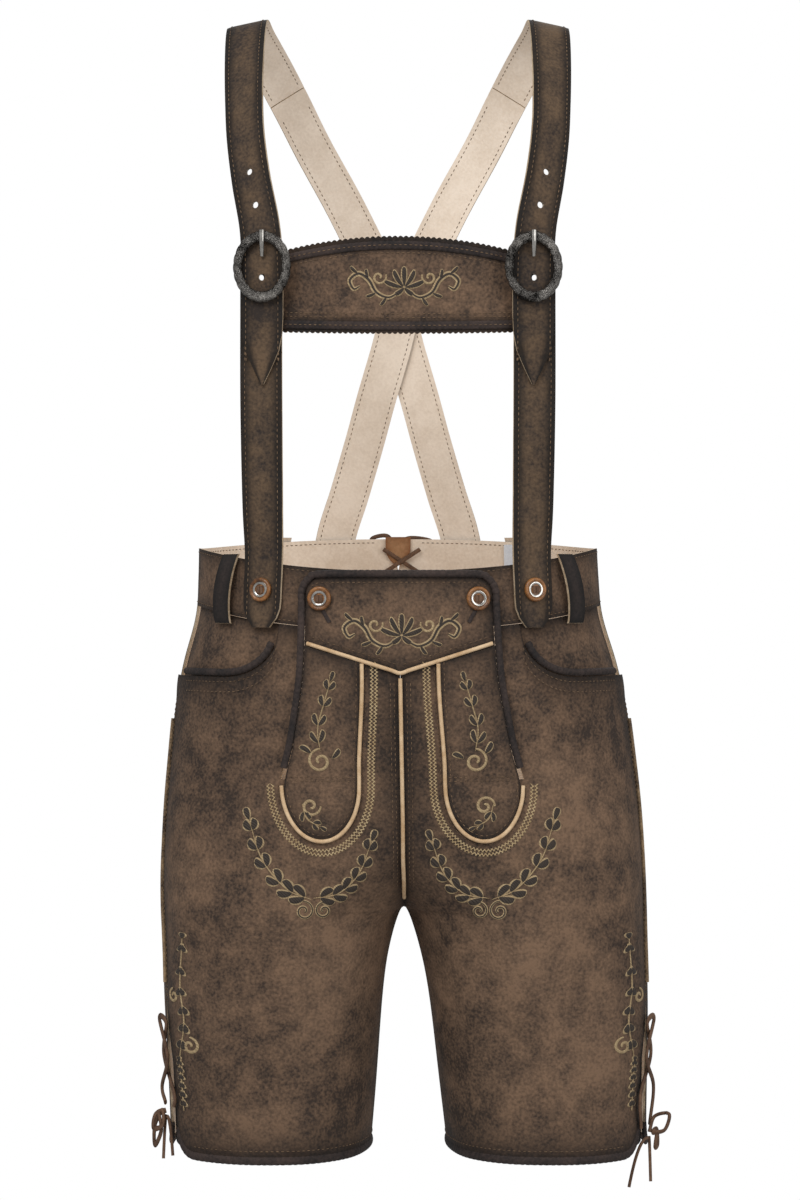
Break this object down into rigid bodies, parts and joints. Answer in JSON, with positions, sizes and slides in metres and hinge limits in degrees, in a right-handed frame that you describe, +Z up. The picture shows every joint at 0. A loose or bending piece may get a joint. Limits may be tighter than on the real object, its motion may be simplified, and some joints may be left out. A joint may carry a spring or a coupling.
{
  "type": "lederhosen",
  "caption": "Knee-length leather trousers with a drop-front flap, laced side slits, shoulder straps, buckles and a chest piece, in their hollow worn form.",
  "frame": {"origin": "midway between the undersides of the two shoulder straps, where they pass over the shoulders", "axes": "+Z up, the front faces -Y, +X is the wearer's left"},
  "size_m": [0.4249, 0.2495, 0.9622],
  "materials": {
    "suede": "mottled suede, antiqued darker at the edges",
    "dark_suede": "dark worn suede",
    "piping": "smooth cream piping",
    "thong": "matt brown lacing",
    "tan": "tan suede",
    "buckle": "cast and blackened",
    "pin": "bright",
    "horn": "polished imitation horn",
    "label": "blank woven label"
  },
  "bodies": {
    "root": {"front_r": "suede", "front_l": "suede", "back_r": "suede", "back_l": "suede", "waistband_front_r": "suede", "waistband_front_l": "suede", "waistband_back_r": "suede", "waistband_back_l": "suede", "flap_panel_r": "suede", "flap_panel_l": "suede", "pocket_facing_r": "suede", "pocket_facing_l": "suede", "strap_front_r": "suede", "strap_front_l": "suede", "strap_back_r": "suede", "strap_back_l": "suede", "strap_lower_r": "suede", "strap_lower_l": "suede", "flap_yoke": "suede", "bib": "suede", "pocket_edge_r": "dark_suede", "pocket_edge_l": "dark_suede", "belt_loop_front_r": "dark_suede", "belt_loop_front_l": "dark_suede", "belt_loop_back_r": "dark_suede", "belt_loop_back_l": "dark_suede", "hem_r": "dark_suede", "hem_l": "dark_suede", "slit_tongue_r": "dark_suede", "slit_tongue_l": "dark_suede", "flap_binding": "dark_suede", "piping_panel_r": "piping", "piping_panel_l": "piping", "piping_side_r": "piping", "piping_side_l": "piping", "piping_yoke": "piping", "piping_center": "piping", "leg_lace_r": "thong", "leg_lace_l": "thong", "leg_bow_r": "thong", "leg_bow_l": "thong", "lace_end_r_a": "thong", "lace_end_r_b": "thong", "lace_end_l_a": "thong", "lace_end_l_b": "thong", "back_lace": "thong", "back_bow": "thong", "back_gusset": "tan", "buckle_r": "buckle", "buckle_l": "buckle", "buckle_pin_r": "pin", "buckle_pin_l": "pin", "button_flap_r": "horn", "button_flap_l": "horn", "button_strap_r": "horn", "button_strap_l": "horn", "button_back_r": "horn", "button_back_l": "horn", "size_label": "label"}
  },
  "joints": []
}
